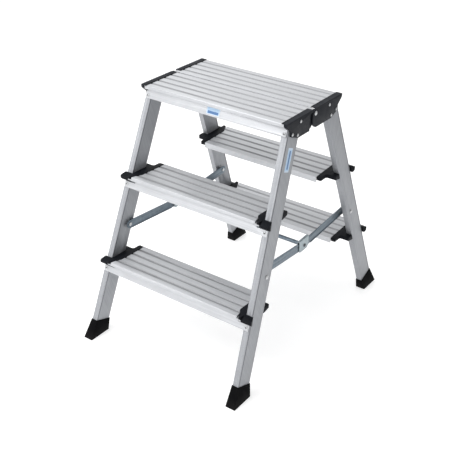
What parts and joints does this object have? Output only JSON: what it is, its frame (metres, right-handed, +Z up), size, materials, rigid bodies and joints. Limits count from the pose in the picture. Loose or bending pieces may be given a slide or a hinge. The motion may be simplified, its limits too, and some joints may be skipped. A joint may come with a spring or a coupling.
{
  "type": "folding step ladder",
  "caption": "Double-sided folding step ladder with ribbed aluminium treads, a shared hinged platform and folding steel spreader braces.",
  "frame": {"origin": "on the floor under the middle of the open ladder", "axes": "+X along the steps, -Y towards the front section, +Z up"},
  "size_m": [0.5332, 0.7734, 0.7015],
  "materials": {
    "aluminium": "satin extruded",
    "cap": "fine textured",
    "foot": "matte",
    "brace": "zinc plated",
    "rivet": "bright"
  },
  "bodies": {
    "front_section": {"front_platform_half": "aluminium", "front_upper_step": "aluminium", "front_lower_step": "aluminium", "front_stile_left": "aluminium", "front_hinge_cap_left": "cap", "front_foot_left": "foot", "front_upper_step_cap_left": "cap", "front_lower_step_cap_left": "cap", "front_platform_apron_rivet_left": "rivet", "front_upper_apron_rivet_left": "rivet", "front_lower_apron_rivet_left": "rivet", "front_stile_right": "aluminium", "front_hinge_cap_right": "cap", "front_foot_right": "foot", "front_upper_step_cap_right": "cap", "front_lower_step_cap_right": "cap", "front_platform_apron_rivet_right": "rivet", "front_upper_apron_rivet_right": "rivet", "front_lower_apron_rivet_right": "rivet", "brace_front_pin_left": "rivet", "brace_front_pin_right": "rivet", "hinge_rivet_left": "rivet", "hinge_rivet_right": "rivet"},
    "rear_section": {"rear_platform_half": "aluminium", "rear_upper_step": "aluminium", "rear_lower_step": "aluminium", "rear_stile_left": "aluminium", "rear_hinge_cap_left": "cap", "rear_foot_left": "foot", "rear_upper_step_cap_left": "cap", "rear_lower_step_cap_left": "cap", "rear_platform_apron_rivet_left": "rivet", "rear_upper_apron_rivet_left": "rivet", "rear_lower_apron_rivet_left": "rivet", "rear_stile_right": "aluminium", "rear_hinge_cap_right": "cap", "rear_foot_right": "foot", "rear_upper_step_cap_right": "cap", "rear_lower_step_cap_right": "cap", "rear_platform_apron_rivet_right": "rivet", "rear_upper_apron_rivet_right": "rivet", "rear_lower_apron_rivet_right": "rivet", "brace_rear_pin_left": "rivet", "brace_rear_pin_right": "rivet"},
    "front_links": {"brace_front_link_left": "brace", "brace_front_link_right": "brace", "brace_cross_bar": "brace"},
    "rear_links": {"brace_rear_link_left": "brace", "brace_rear_link_right": "brace", "brace_knuckle_bracket_left": "brace", "brace_knuckle_bracket_right": "brace", "brace_rear_link_rivet_left": "rivet", "brace_rear_link_rivet_right": "rivet"}
  },
  "joints": [
    {"name": "fold", "type": "hinge", "parent": "front_section", "child": "rear_section", "pos_m": [0, 0, 0.688], "axis": [-1, 0, 0], "range_deg": [0, 38]},
    {"name": "brace_at_front_stiles", "type": "hinge", "parent": "front_section", "child": "front_links", "pos_m": [0, -0.22, 0.315], "axis": [1, 0, 0], "range_deg": [0, 52.32]},
    {"name": "brace_knuckle", "type": "hinge", "parent": "front_links", "child": "rear_links", "pos_m": [0, 0, 0.298], "axis": [-1, 0, 0], "range_deg": [0, 142.63]}
  ],
  "couplings": [
    {"joint": "brace_at_front_stiles", "follows": "fold", "ratio": 1.3768},
    {"joint": "brace_knuckle", "follows": "fold", "ratio": 3.7535}
  ]
}
